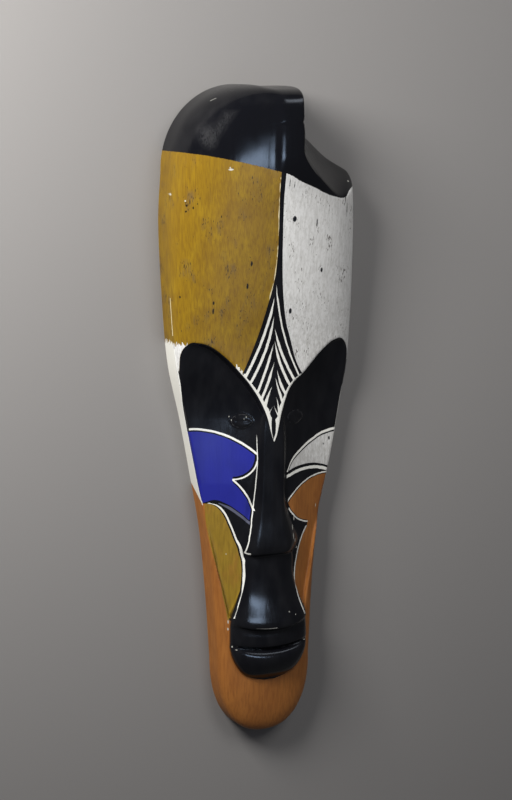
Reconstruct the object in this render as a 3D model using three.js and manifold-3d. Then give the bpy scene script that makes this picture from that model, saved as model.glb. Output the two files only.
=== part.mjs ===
// A long Fang face mask, carved from one block of wood and hollowed from behind.
// Millimetres. The mask lies on its back rim: +X is to the right of its picture, +Y towards its
// crown and +Z out of its face. The origin is in the middle of the back, in the plane of the rim.
import * as THREE from "three";
import Module from "manifold-3d";
import { mergeVertices } from "three/addons/utils/BufferGeometryUtils.js";

// Block: the outer form, before the face is carved. Each list gives [place along Y, value].
const HALF_LENGTH = 300;
const SIDE_WALL = [[-228, 13], [-150, 14], [-80, 18.4]]; // upright side above the rim
const HALF_WIDTH = [
  [-228, 47], [-160, 51], [-100, 57], [-50, 67.5], [0, 77], [50, 86], [110, 90], [180, 91.5], [225, 88.5],
];
const CENTRE = [[-228, 0], [-100, 0.5], [-50, 2.5], [0, 3], [50, 1.5], [110, 0.8], [180, 0]];
const RIDGE = [
  [-228, 30.5], [-160, 31], [-100, 32], [-50, 35], [-10, 39.5], [60, 43.5], [110, 51.5], [180, 63],
  [225, 71.5], [255, 74.5], [275, 74.5],
];
const ROUNDNESS = 2.2;
const TOP_FLATNESS = [[-160, 3.2], [0, 2.2]];
const CHIN_Y = -228;
const CHIN_ROUNDNESS = 2.3;

// Crown: a round left half, a raised crest with an upright right side, and a cut-down right shoulder.
const DOME = { x: -17, y: 225, halfWidth: 71.5, height: 75 };
const CROWN_Y = 230;
const CROWN_SQUARENESS = 14;
const CROWN_EDGE = 1 / 3;
const CREST = { rise: 3.5, leftFoot: -12, fillet: 10, startY: 196, runIn: 44, drop: 2, dropRun: 16 };
const CREST_WALL = { footX: 28, topX: 17.6, topZ: 78, lean: 8 };
const SHOULDER = { x: 28, y: 266, fall: 0.735, start: -24, curve: 0.8 };
const SHOULDER_BACK = [[0, 0], [26, 1.5], [45, 3.6], [55, 3.6], [64, 2.5], [78, 0.7], [84, 0]];
const SHOULDER_CREASE = [
  [-14, 0.3], [-4.5, 10.8], [6.6, 25.3], [12, 29], [25, 32.6], [40, 34.2], [62, 34.7], [70, 32.8], [75, 28.5],
  [79, 22], [82, 14], [84, 1],
];

// Face: sunk below the brow, from the lobes over the eyes down to the mouth. The brow's edge over
// each lobe is given as [distance from the middle line, place along Y], up to the lobe's top. From
// there it turns down through a quarter of an ellipse. The two lobes aren't quite alike.
const LEFT_BROW = {
  edge: [
    [0, -23], [3, -14], [7, 1], [14, 17], [23, 31.5], [30, 40.5], [40, 52], [48, 59.8], [56, 66.2], [64, 70.6],
    [74, 72.8],
  ],
  outerHalf: 10,
  outerHeight: 16,
};
const RIGHT_BROW = {
  edge: [
    [0, -23], [3, -15.5], [7, 2.5], [14, 22], [21, 32], [30, 38.6], [40, 48.5], [47, 55.4], [54, 61], [61, 65.5],
    [70, 68.3],
  ],
  outerHalf: 13.5,
  outerHeight: 18.3,
};
const FACE_OPEN_BELOW = 42; // under this the sunk face runs out over the side wall
const CREASE_TOP = -100; // under this it is bounded by a crease, and a rim stands beside it
const CREASE = [[-187, 38.6], [-162, 43.6], [-142, 48.4], [-116, 53.6], [-100, 58]];
const CREASE_Z = [
  [-187, 23.5], [-162, 22], [-142, 20.5], [-116, 19], [-100, 18.4], [0, 18], [20, 19.5], [45, 25], [66, 30],
  [80, 34],
];
const NOSE_SIDE = 14;
const NOSE_SIDE_Z = [[-190, 36], [-120, 36.5], [-50, 36], [0, 33], [20, 34], [45, 38], [66, 40]];
const SCOOP = [[-60, 1.1], [0, 2]];
const FACE_END = { y: -200, half: 24 };

// Nose: a low flat ridge that widens into the nostrils.
const NOSE_TOP = 12;
const NOSE_END = -129;
const NOSE_FRONT = [[-129, 15], [-118, 14.5], [-100, 11], [-76, 10], [-15, 9.5], [12, 7]];
const NOSE_FOOT = [[-129, 22], [-118, 24.5], [-104, 22], [-90, 18.5], [-76, 16], [-15, 14], [12, 10]];
const NOSE_Z = [[-129, 40.5], [-120, 41.5], [-90, 39.5], [-50, 39], [-15, 39.5], [12, 39.5]];
const NOSE_FLANK = { foot: 6, middle: 2.2, edge: 0.4 }; // how far each lies below the ridge

// Mouth: neck, muzzle, ledge, lips and the groove between them. Each row is
// [place along Y, half width, height in the middle, how far its ends bow up].
const MUZZLE_ROWS = [
  [-120, 24, 36, 0], [-135, 25.8, 36.5, 0], [-147, 25.6, 37, 0], [-160, 28, 39, 1], [-172, 31.5, 42, 3],
  [-184, 35.5, 45, 5], [-193, 37.8, 45.5, 7], [-197, 38.2, 45, 7], [-199, 38.3, 41, 7], [-206, 38.6, 41.5, 6],
  [-214, 38.7, 41, 5], [-217, 38.7, 37, 5], [-220, 38.5, 41.5, 5], [-226, 37, 43.5, 4], [-233, 33, 42, 2],
  [-240, 26, 37.5, 0], [-245, 16, 32, 0], [-248, 5, 28, 0],
];
const MUZZLE_EDGE_Z = 28;
const MUZZLE_ROUNDNESS = 2.3;

// Eyes: small raised almonds in the lobes.
const EYE = { x: 26.8, y: -3, halfWidth: 9.5, halfHeight: 6.5, rise: 3 };

// Hollow back.
const RIM = 13;
const HOLLOW = { chinY: -215, chinEnd: -280, crownY: 150, crownEnd: 250, endCurve: 2.5, edgeZ: 0.5 };
const HOLLOW_Z = [
  [-228, 18], [-160, 19], [-100, 19], [-50, 18], [0, 16], [50, 24], [110, 39], [160, 47], [200, 55],
  [230, 60],
];
const HOLLOW_CENTRE = [[140, 0], [200, -6], [250, -12]];

// How finely the surfaces are divided, and how far a cutter reaches past the wood.
const STEP_ALONG = 9;
const COLUMNS = 24;
const CHIN_STEPS = 9;
const CROWN_STEPS = 11;
const PAST_WOOD = 70;

const wasm = await Module();
wasm.setup();

const power = (value, exponent) => Math.pow(Math.max(value, 0), exponent);

function eased(t) {
  const k = Math.min(Math.max(t, 0), 1);
  return k * k * (3 - 2 * k);
}

// A smooth curve through [place, value] stations, level beyond its ends.
function through(stations, place) {
  const last = stations.length - 1;
  if (place <= stations[0][0]) return stations[0][1];
  if (place >= stations[last][0]) return stations[last][1];
  let i = 0;
  while (place > stations[i + 1][0]) i += 1;
  const slope = (k) => {
    const before = stations[Math.max(k - 1, 0)];
    const after = stations[Math.min(k + 1, last)];
    return (after[1] - before[1]) / (after[0] - before[0]);
  };
  const [y0, v0] = stations[i];
  const [y1, v1] = stations[i + 1];
  const gap = y1 - y0;
  const t = (place - y0) / gap;
  return (
    (1 + 2 * t) * (1 - t) ** 2 * v0 +
    t * (1 - t) ** 2 * gap * slope(i) +
    t * t * (3 - 2 * t) * v1 +
    t * t * (t - 1) * gap * slope(i + 1)
  );
}

// How far a place is into the rounded chin, from 0 to 1.
const intoChin = (y) => Math.max((CHIN_Y - y) / (CHIN_Y + HALF_LENGTH), 0);

// The block's half width on the side that has this sign.
function halfWidth(y, side) {
  if (y < CHIN_Y) {
    return HALF_WIDTH[0][1] * power(1 - intoChin(y) ** CHIN_ROUNDNESS, 1 / CHIN_ROUNDNESS);
  }
  if (side < 0 && y > DOME.y) {
    return -DOME.x + DOME.halfWidth * power(1 - ((y - DOME.y) / DOME.height) ** 2, 0.5);
  }
  return through(HALF_WIDTH, y);
}

const crownTop = (x) => HALF_LENGTH - CREST.drop * eased((x - DOME.x) / CREST.dropRun);

// Height of the block's front over the rim plane.
function blockZ(x, y) {
  const fromCentre = x - through(CENTRE, y);
  const outward = Math.min(Math.abs(fromCentre) / Math.max(halfWidth(y, fromCentre), 1), 1);
  const crownward = Math.min(Math.max((y - CROWN_Y) / (crownTop(x) - CROWN_Y), 0), 1);
  const flatness = through(TOP_FLATNESS, y);
  const crest =
    CREST.rise * eased((x - CREST.leftFoot) / CREST.fillet) * eased((y - CREST.startY) / CREST.runIn);
  const wall = through(SIDE_WALL, y);
  const rise = through(RIDGE, y) - wall + crest;
  const section = power(1 - outward ** ROUNDNESS, 1 / flatness);
  const chin = power(1 - intoChin(y) ** CHIN_ROUNDNESS, 1 / flatness);
  const crown = power(1 - crownward ** CROWN_SQUARENESS, CROWN_EDGE);
  return wall + rise * section * chin * crown;
}

const manifoldOf = (positions, triangles) =>
  new wasm.Manifold(
    new wasm.Mesh({
      numProp: 3,
      vertProperties: new Float32Array(positions),
      triVerts: new Uint32Array(triangles),
    }),
  );

// A closed solid between a grid of points, given as rows, and a level plane.
function solidOf(rows, level) {
  const columns = rows[0].length;
  const sheets = [rows, rows.map((row) => row.map(([x, y]) => [x, y, level]))];
  const at = (sheet, i, j) => (sheet * rows.length + i) * columns + j;
  const triangles = [];
  const quad = (a, b, c, d) => triangles.push(a, b, c, a, c, d);
  const endRow = rows.length - 1;
  const endColumn = columns - 1;
  for (let i = 0; i < endRow; i += 1) {
    for (let j = 0; j < endColumn; j += 1) {
      quad(at(0, i, j), at(0, i, j + 1), at(0, i + 1, j + 1), at(0, i + 1, j));
      quad(at(1, i, j), at(1, i + 1, j), at(1, i + 1, j + 1), at(1, i, j + 1));
    }
    quad(at(0, i, 0), at(0, i + 1, 0), at(1, i + 1, 0), at(1, i, 0));
    quad(at(0, i, endColumn), at(1, i, endColumn), at(1, i + 1, endColumn), at(0, i + 1, endColumn));
  }
  for (let j = 0; j < endColumn; j += 1) {
    quad(at(0, 0, j), at(1, 0, j), at(1, 0, j + 1), at(0, 0, j + 1));
    quad(at(0, endRow, j), at(0, endRow, j + 1), at(1, endRow, j + 1), at(1, endRow, j));
  }
  const solid = manifoldOf(sheets.flat(3), triangles);
  return solid.volume() > 0 ? solid : manifoldOf(sheets.flat(3), triangles.reverse());
}

// A three.js geometry as a solid.
function solidFrom(geometry) {
  const bare = geometry.clone();
  bare.deleteAttribute("normal");
  bare.deleteAttribute("uv");
  const merged = mergeVertices(bare, 1e-4);
  return manifoldOf(merged.attributes.position.array, merged.index.array);
}

// Evenly spaced places from one value to another, about this step apart.
const steps = (from, to, step) => {
  const count = Math.max(Math.round(Math.abs(to - from) / step), 1);
  return Array.from({ length: count + 1 }, (_, i) => from + ((to - from) * i) / count);
};

// Places from -1 to 1 across a section, closer together towards both sides.
const across = (columns) => steps(-1, 1, 2 / columns).map((k) => Math.sin((k * Math.PI) / 2));

// Places that close up on the end of a rounded form, from just above 0 to the reach, at most 1.
const towardsEnd = (count, reach) =>
  Array.from({ length: count }, (_, i) => Math.sin(((i + 1) / count) * Math.asin(reach)));

function block() {
  const chinRows = towardsEnd(CHIN_STEPS, 0.999)
    .reverse()
    .map((t) => CHIN_Y - t * (CHIN_Y + HALF_LENGTH));
  const bodyRow = (y) =>
    across(COLUMNS).map((k) => {
      const x = through(CENTRE, y) + k * halfWidth(y, k);
      return [x, y, blockZ(x, y)];
    });
  const crownRow = (t) =>
    across(COLUMNS).map((k) => {
      const y = CROWN_Y + t * (HALF_LENGTH - CROWN_Y);
      const x = through(CENTRE, y) + k * halfWidth(y, k);
      const lowered = CROWN_Y + t * (crownTop(x) - CROWN_Y);
      return [x, lowered, blockZ(x, lowered)];
    });
  const body = [...chinRows, ...steps(CHIN_Y, CROWN_Y, STEP_ALONG)];
  return solidOf([...body.map(bodyRow), ...towardsEnd(CROWN_STEPS, 1).map(crownRow)], 0);
}

// What is cut away right of the crest: all beyond the shoulder's back edge, and above its slope.
// Both its edges are given from a straight line that falls from the crest: [along it, in from it].
// The slope rises from the top of an upright back edge, as high as the side wall, to the crease.
function shoulderCut() {
  const run = 1 / Math.hypot(1, SHOULDER.fall);
  const drop = SHOULDER.fall * run;
  const placed = (along, into) => [
    SHOULDER.x + along * run - into * drop,
    SHOULDER.y - along * drop - into * run,
  ];
  const clear = 0.5;
  const end = SHOULDER_CREASE.at(-1)[0];
  const rows = steps(SHOULDER.start, end, STEP_ALONG / 2).map((along) => {
    const back = through(SHOULDER_BACK, along);
    const depth = through(SHOULDER_CREASE, along) - back;
    const [creaseX, creaseY] = placed(along, back + depth);
    const wall = through(SIDE_WALL, creaseY);
    const rise = blockZ(creaseX, creaseY) - wall;
    const slope = steps(0, 1, 1 / 8).map((t) => {
      const above = t === 1 ? 5 * clear : 0;
      return [...placed(along, back + depth * t), wall + rise * power(t, SHOULDER.curve) + above];
    });
    const foot = placed(along, back - clear / 5);
    return [[...placed(along, -PAST_WOOD), -clear], [...foot, -clear], ...slope];
  });
  const crestSide = new THREE.Shape([
    new THREE.Vector2(CREST_WALL.footX, 0),
    new THREE.Vector2(CREST_WALL.footX, -PAST_WOOD),
    new THREE.Vector2(CREST_WALL.footX + 2 * PAST_WOOD, -PAST_WOOD),
    new THREE.Vector2(CREST_WALL.footX + 2 * PAST_WOOD, CREST_WALL.topZ + PAST_WOOD),
    new THREE.Vector2(CREST_WALL.topX - CREST_WALL.lean, CREST_WALL.topZ + PAST_WOOD),
    new THREE.Vector2(CREST_WALL.topX, CREST_WALL.topZ),
  ]);
  const besideCrest = new THREE.ExtrudeGeometry(crestSide, { depth: 3 * PAST_WOOD, bevelEnabled: false });
  besideCrest.rotateX(Math.PI / 2);
  besideCrest.translate(0, HALF_LENGTH + PAST_WOOD, 0);
  return solidOf(rows, CREST_WALL.topZ + PAST_WOOD / 2).intersect(solidFrom(besideCrest));
}

// Height of the sunk face, at this distance from the middle line.
function faceZ(s, y) {
  const edge = y < CREASE_TOP ? through(CREASE, y) : halfWidth(y, 1);
  const inward = Math.max((edge - s) / (edge - NOSE_SIDE), 0);
  const low = through(CREASE_Z, y);
  return low + (through(NOSE_SIDE_Z, y) - low) * power(inward, through(SCOOP, y));
}

function faceCut() {
  const beyond = 6;
  const half = (brow, side) => {
    const [topS, topY] = brow.edge.at(-1);
    const end = topS + brow.outerHalf;
    const outline = [
      ...steps(0, topS, 4).map((s) => [s, through(brow.edge, s)]),
      ...steps(Math.PI / 12, Math.PI / 2, Math.PI / 12).map((turn) => [
        topS + brow.outerHalf * Math.sin(turn),
        topY - brow.outerHeight * (1 - Math.cos(turn)),
      ]),
      [end, FACE_OPEN_BELOW],
      ...steps(FACE_OPEN_BELOW, CREASE_TOP + beyond, 12).map((y) => [halfWidth(y, 1) + beyond, y]),
      ...steps(CREASE_TOP, CREASE[0][0], 8).map((y) => [through(CREASE, y), y]),
      [FACE_END.half, FACE_END.y],
    ];
    return outline.map(([s, y]) => new THREE.Vector2(through(CENTRE, y) + side * s, y));
  };
  const outline = new THREE.Shape([...half(RIGHT_BROW, 1), ...half(LEFT_BROW, -1).reverse().slice(0, -1)]);
  const column = new THREE.ExtrudeGeometry(outline, { depth: 2 * PAST_WOOD, bevelEnabled: false });
  const floor = steps(FACE_END.y - beyond, LEFT_BROW.edge.at(-1)[1] + beyond, STEP_ALONG).map((y) =>
    across(COLUMNS - 2).map((k) => {
      const s = k * (halfWidth(y, k) + 1.5 * beyond);
      return [through(CENTRE, y) + s, y, faceZ(Math.abs(s), y)];
    }),
  );
  return solidOf(floor, 1.5 * PAST_WOOD).intersect(solidFrom(column));
}

function nose() {
  const rows = steps(NOSE_END, NOSE_TOP, STEP_ALONG).map((y) => {
    const front = through(NOSE_FRONT, y);
    const foot = through(NOSE_FOOT, y);
    const flank = [
      [foot, NOSE_FLANK.foot],
      [(front + foot) / 2, NOSE_FLANK.middle],
      [front, NOSE_FLANK.edge],
      [front / 2, 0],
    ];
    const point = (s, below) => [through(CENTRE, y) + s, y, through(NOSE_Z, y) - below];
    const left = flank.map(([s, below]) => point(-s, below));
    const right = flank.map(([s, below]) => point(s, below)).reverse();
    return [...left, point(0, 0), ...right];
  });
  return solidOf(rows, MUZZLE_EDGE_Z - NOSE_FLANK.foot);
}

function muzzle() {
  const rows = MUZZLE_ROWS.map(([y, half, top, bow]) =>
    across(16).map((k) => {
      const section = power(1 - Math.abs(k) ** MUZZLE_ROUNDNESS, 1 / MUZZLE_ROUNDNESS);
      const z = MUZZLE_EDGE_Z + (top - MUZZLE_EDGE_Z) * section;
      return [through(CENTRE, y) + k * half, y + bow * k * k, z];
    }),
  );
  return solidOf(rows, MUZZLE_EDGE_Z - NOSE_FLANK.foot);
}

function eye(side) {
  const almond = new THREE.SphereGeometry(1, 14, 10);
  almond.scale(EYE.halfWidth, EYE.halfHeight, EYE.rise * 2);
  const x = through(CENTRE, EYE.y) + side * EYE.x;
  almond.translate(x, EYE.y, faceZ(EYE.x, EYE.y) - EYE.rise);
  return solidFrom(almond);
}

// What is scooped out from behind: a long trough, deepest under the forehead.
function hollow() {
  const chinLength = HOLLOW.chinY - HOLLOW.chinEnd;
  const crownLength = HOLLOW.crownEnd - HOLLOW.crownY;
  const places = [
    ...towardsEnd(6, 0.999).reverse().map((t) => [HOLLOW.chinY - t * chinLength, t]),
    ...steps(HOLLOW.chinY, HOLLOW.crownY, 14).map((y) => [y, 0]),
    ...towardsEnd(8, 0.999).map((t) => [HOLLOW.crownY + t * crownLength, t]),
  ];
  const rows = places.map(([y, t]) => {
    const end = 1 - t ** HOLLOW.endCurve;
    const half = (through(HALF_WIDTH, y) - RIM) * power(end, 1 / HOLLOW.endCurve);
    const middle = through(CENTRE, y) + through(HOLLOW_CENTRE, y);
    const top = through(HOLLOW_Z, y) * power(end, 1 / ROUNDNESS);
    return across(14).map((k) => {
      const section = power(1 - Math.abs(k) ** ROUNDNESS, 1 / ROUNDNESS);
      return [middle + k * half, y, Math.max(top * section, HOLLOW.edgeZ)];
    });
  });
  return solidOf(rows, -RIM);
}

function carvedMask() {
  const head = block().subtract(shoulderCut()).subtract(faceCut());
  const features = [nose(), muzzle(), eye(-1), eye(1)];
  const face = features.reduce((solid, feature) => solid.add(feature), head);
  return face.subtract(hollow());
}

function geometryOf(solid) {
  const { vertProperties, triVerts } = solid.getMesh();
  const geometry = new THREE.BufferGeometry();
  geometry.setAttribute("position", new THREE.BufferAttribute(new Float32Array(vertProperties), 3));
  geometry.setIndex(new THREE.BufferAttribute(new Uint32Array(triVerts), 1));
  geometry.computeVertexNormals();
  return geometry;
}

const paintedWood = new THREE.MeshStandardMaterial({ color: 0x1c1c20, roughness: 0.35, metalness: 0 });
const mask = new THREE.Mesh(geometryOf(carvedMask()), paintedWood);
mask.name = "mask";

const group = new THREE.Group();
group.add(mask);

export default group;
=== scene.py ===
import math

import bpy
import bmesh
import numpy as np
from mathutils import Matrix, Vector, geometry, noise


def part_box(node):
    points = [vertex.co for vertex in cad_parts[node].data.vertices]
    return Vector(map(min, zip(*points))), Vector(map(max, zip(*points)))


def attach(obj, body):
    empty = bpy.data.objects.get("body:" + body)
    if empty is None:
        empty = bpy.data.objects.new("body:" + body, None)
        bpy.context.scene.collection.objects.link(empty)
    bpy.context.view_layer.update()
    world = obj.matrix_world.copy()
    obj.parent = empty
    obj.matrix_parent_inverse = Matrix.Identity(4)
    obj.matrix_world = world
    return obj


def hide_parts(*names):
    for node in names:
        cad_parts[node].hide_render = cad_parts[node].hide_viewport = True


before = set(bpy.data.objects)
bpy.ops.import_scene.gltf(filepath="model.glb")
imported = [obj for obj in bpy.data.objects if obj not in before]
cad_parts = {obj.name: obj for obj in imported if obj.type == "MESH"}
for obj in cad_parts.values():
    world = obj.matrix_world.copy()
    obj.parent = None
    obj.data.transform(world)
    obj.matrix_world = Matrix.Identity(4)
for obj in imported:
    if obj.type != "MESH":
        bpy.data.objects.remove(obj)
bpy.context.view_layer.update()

low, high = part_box("mask")

# Camera. The photograph looks at the mask from its own left and a little above it. The mask lies on
# its back here, so the same view looks down on it from that side, with the crown at the top.
MM = 0.001
VIEW_FROM_LEFT = math.radians(25)
VIEW_FROM_CROWN = math.radians(9)
VIEW_ROLL = math.radians(-0.526)
VIEW_DISTANCE = 2.0
VIEW_TARGET = Vector((-8.19, 14.75, 25.0)) * MM
FOCAL_PIXELS = 2193
PICTURE_HEIGHT = 800
SENSOR_HEIGHT = 36

towards_camera = Vector(
    (
        -math.sin(VIEW_FROM_LEFT) * math.cos(VIEW_FROM_CROWN),
        math.sin(VIEW_FROM_CROWN),
        math.cos(VIEW_FROM_LEFT) * math.cos(VIEW_FROM_CROWN),
    )
)
level_right = Vector((0, 1, 0)).cross(towards_camera).normalized()
level_up = towards_camera.cross(level_right)
picture_right = level_right * math.cos(VIEW_ROLL) + level_up * math.sin(VIEW_ROLL)
picture_up = level_up * math.cos(VIEW_ROLL) - level_right * math.sin(VIEW_ROLL)


def facing(right, up, out, place):
    """The pose of a camera or a lamp at a place, looking against out."""
    turn = Matrix((right, up, out)).transposed().to_4x4()
    return Matrix.Translation(place) @ turn


camera = bpy.data.objects.new("camera", bpy.data.cameras.new("camera"))
camera.data.sensor_fit = "VERTICAL"
camera.data.sensor_height = SENSOR_HEIGHT
camera.data.lens = FOCAL_PIXELS * SENSOR_HEIGHT / PICTURE_HEIGHT
camera.matrix_world = facing(
    picture_right, picture_up, towards_camera, VIEW_TARGET + towards_camera * VIEW_DISTANCE
)
bpy.context.scene.collection.objects.link(camera)
bpy.context.scene.camera = camera

# Studio. A plain pale floor and four soft lamps. The key lamp, from the picture's upper left, and the
# fill lamp light the paint and the floor. The softbox over the mask and the strip lamp past the crown
# are seen only as reflections, on the polished cap, the nose and the muzzle.
FLOOR_SIZE = 6.0
FLOOR_COLOUR = (0.215, 0.208, 0.204, 1)
WORLD_COLOUR = (0.9, 0.92, 1, 1)
WORLD_STRENGTH = 0.1
WARM_LIGHT, BLUE_LIGHT, COOL_LIGHT = (1, 0.985, 0.96), (0.56, 0.73, 1), (0.8, 0.88, 1)
MASK_MIDDLE, CHEEK_MIDDLE = (0, 0, 0.03), (0, -0.2, 0.04)


def lamp(name, place, aim, size, power, colour):
    """A rectangular softbox at a place, aimed at a point."""
    light = bpy.data.lights.new(name, "AREA")
    light.shape = "RECTANGLE"
    light.size, light.size_y = size
    light.energy = power
    light.color = colour
    out = (Vector(place) - Vector(aim)).normalized()
    right = Vector((0, 1, 0)).cross(out).normalized()
    piece = bpy.data.objects.new(name, light)
    piece.matrix_world = facing(right, out.cross(right), out, Vector(place))
    piece.visible_camera = False
    bpy.context.scene.collection.objects.link(piece)
    return piece


key_lamp = lamp("key_lamp", (-0.68, 0.6, 0.45), MASK_MIDDLE, (0.4, 0.4), 17.2, WARM_LIGHT)
key_lamp.visible_glossy = False
fill_lamp = lamp("fill_lamp", (0.2, 0.55, 0.85), MASK_MIDDLE, (0.5, 0.5), 4.2, WARM_LIGHT)
fill_lamp.visible_glossy = False
softbox = lamp("softbox", (0.045, 0.015, 0.9), (0.045, 0.015, 0), (0.4, 0.13), 1.75, BLUE_LIGHT)
softbox.visible_diffuse = False
strip_lamp = lamp("strip_lamp", (0.39, 0.6, 0.45), CHEEK_MIDDLE, (0.4, 0.2), 1, COOL_LIGHT)
strip_lamp.visible_diffuse = False

world = bpy.data.worlds.new("studio")
bpy.context.scene.world = world
world.use_nodes = True
world.node_tree.nodes["Background"].inputs["Color"].default_value = WORLD_COLOUR
world.node_tree.nodes["Background"].inputs["Strength"].default_value = WORLD_STRENGTH
bpy.context.scene.view_settings.view_transform = "Standard"

floor_mesh = bpy.data.meshes.new("floor")
half_floor = FLOOR_SIZE / 2
floor_mesh.from_pydata(
    [(x * half_floor, y * half_floor, low.z) for x, y in ((-1, -1), (1, -1), (1, 1), (-1, 1))],
    [],
    [(0, 1, 2, 3)],
)
floor = bpy.data.objects.new("floor", floor_mesh)
bpy.context.scene.collection.objects.link(floor)
floor_finish = bpy.data.materials.new("pale_floor")
floor_finish.use_nodes = True
floor_shader = floor_finish.node_tree.nodes["Principled BSDF"]
floor_shader.inputs["Base Color"].default_value = FLOOR_COLOUR
floor_shader.inputs["Roughness"].default_value = 0.9
floor_mesh.materials.append(floor_finish)

# Mask. One block of light wood, carved with adze and knife, hollowed from behind to a wall of a
# finger's thickness, sanded on the face, painted, and polished. It has no other pieces. It hangs
# from behind, and lies here on its flat back rim. Sizes are in millimetres until the mesh is made.
HALF_LENGTH = high.y / MM
SIDE_WALL = [(-228, 13), (-150, 14), (-80, 18.4)]
HALF_WIDTH = [
    (-228, 47), (-160, 51), (-100, 57), (-50, 67.5), (0, 77), (50, 86), (110, 90), (180, 91.5),
    (225, 88.5),
]
CENTRE = [(-228, 0), (-100, 0.5), (-50, 2.5), (0, 3), (50, 1.5), (110, 0.8), (180, 0)]
RIDGE = [
    (-228, 30.5), (-160, 31), (-100, 32), (-50, 35), (-10, 39.5), (60, 43.5), (110, 51.5), (180, 63),
    (225, 71.5), (255, 74.5), (275, 74.5),
]
ROUNDNESS = 2.2
TOP_FLATNESS = [(-160, 3.2), (0, 2.2)]
CHIN_Y = -228
CHIN_ROUNDNESS = 2.3
CHIN_LENGTH = HALF_LENGTH + CHIN_Y


def through(stations, place):
    """A smooth curve through (place, value) stations, level beyond its ends."""
    at, value = np.array(stations, float).T
    before = np.maximum(np.arange(len(at)) - 1, 0)
    after = np.minimum(np.arange(len(at)) + 1, len(at) - 1)
    slope = (value[after] - value[before]) / (at[after] - at[before])
    place = np.clip(place, at[0], at[-1])
    i = np.clip(np.searchsorted(at, place, side="right") - 1, 0, len(at) - 2)
    gap = at[i + 1] - at[i]
    t = (place - at[i]) / gap
    return (
        (1 + 2 * t) * (1 - t) ** 2 * value[i]
        + t * (1 - t) ** 2 * gap * slope[i]
        + t * t * (3 - 2 * t) * value[i + 1]
        + t * t * (t - 1) * gap * slope[i + 1]
    )


def eased(t):
    k = np.clip(t, 0, 1)
    return k * k * (3 - 2 * k)


def power(value, exponent):
    return np.maximum(value, 0) ** exponent


def lower_of(a, b, radius):
    """The lower of two heights, with a rounded edge where they cross."""
    k = np.clip(0.5 + 0.5 * (b - a) / radius, 0, 1)
    return b + (a - b) * k - radius * k * (1 - k)


def higher_of(a, b, radius):
    return -lower_of(-a, -b, radius)


# The block: its outline, its rounded front, and the round half and the crest of its crown.
DOME_X, DOME_Y, DOME_HALF_WIDTH, DOME_HEIGHT = -17, 225, 71.5, 75
CROWN_Y = 230
CROWN_SQUARENESS = 14
CROWN_EDGE = 1 / 3
CREST_RISE, CREST_FOOT, CREST_FILLET, CREST_START, CREST_RUN_IN = 3.5, -12, 10, 196, 44
CREST_DROP, CREST_DROP_RUN = 2, 16


def into_chin(y):
    return np.clip((CHIN_Y - y) / CHIN_LENGTH, 0, 1)


def half_width(y, side):
    chin = HALF_WIDTH[0][1] * power(1 - into_chin(y) ** CHIN_ROUNDNESS, 1 / CHIN_ROUNDNESS)
    dome = DOME_HALF_WIDTH * power(1 - ((y - DOME_Y) / DOME_HEIGHT) ** 2, 0.5) - DOME_X
    plain = np.where(y < CHIN_Y, chin, through(HALF_WIDTH, y))
    return np.where((side < 0) & (y > DOME_Y), dome, plain)


def crown_top(x):
    return HALF_LENGTH - CREST_DROP * eased((x - DOME_X) / CREST_DROP_RUN)


def block_height(x, y):
    from_centre = x - through(CENTRE, y)
    outward = np.clip(np.abs(from_centre) / np.maximum(half_width(y, from_centre), 1), 0, 1)
    crownward = np.clip((y - CROWN_Y) / (crown_top(x) - CROWN_Y), 0, 1)
    flatness = through(TOP_FLATNESS, y)
    crest_side = eased((x - CREST_FOOT) / CREST_FILLET)
    crest = CREST_RISE * crest_side * eased((y - CREST_START) / CREST_RUN_IN)
    wall = through(SIDE_WALL, y)
    section = power(1 - outward**ROUNDNESS, 1 / flatness)
    chin = power(1 - into_chin(y) ** CHIN_ROUNDNESS, 1 / flatness)
    crown = power(1 - crownward**CROWN_SQUARENESS, CROWN_EDGE)
    return wall + (through(RIDGE, y) - wall + crest) * section * chin * crown


# The cut right of the crest: an upright side, and a shoulder that slopes down to the side wall's
# height. Both its edges are given from a straight line that falls from the crest: (along it, in
# from it).
CREST_FOOT_X, CREST_TOP_X, CREST_TOP_Z = 28, 17.6, 78
SHOULDER_Y, SHOULDER_FALL = 266, 0.735
SHOULDER_CURVE = 0.8
SHOULDER_BACK = [(0, 0), (26, 1.5), (45, 3.6), (55, 3.6), (64, 2.5), (78, 0.7), (84, 0)]
SHOULDER_CREASE = [
    (-14, 0.3), (-4.5, 10.8), (6.6, 25.3), (12, 29), (25, 32.6), (40, 34.2), (62, 34.7), (70, 32.8),
    (75, 28.5), (79, 22), (82, 14), (84, 1),
]
CREST_EDGE, SHOULDER_EDGE, SHOULDER_FILLET = 6, 2, 4
CREST_EDGE_REACH, CREST_EDGE_FADE = 12, 8
CUT_START_Y = 180
CREST_LEAN = (CREST_FOOT_X - CREST_TOP_X) * SIDE_WALL[-1][1] / CREST_TOP_Z
shoulder_run = 1 / math.hypot(1, SHOULDER_FALL)
shoulder_drop = SHOULDER_FALL * shoulder_run


def on_shoulder(x, y):
    """A place along and in from the shoulder's line, and where its back edge and crease lie there."""
    along = (x - CREST_FOOT_X) * shoulder_run - (y - SHOULDER_Y) * shoulder_drop
    into = -(x - CREST_FOOT_X) * shoulder_drop - (y - SHOULDER_Y) * shoulder_run
    return along, into, through(SHOULDER_BACK, along), through(SHOULDER_CREASE, along)


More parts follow.
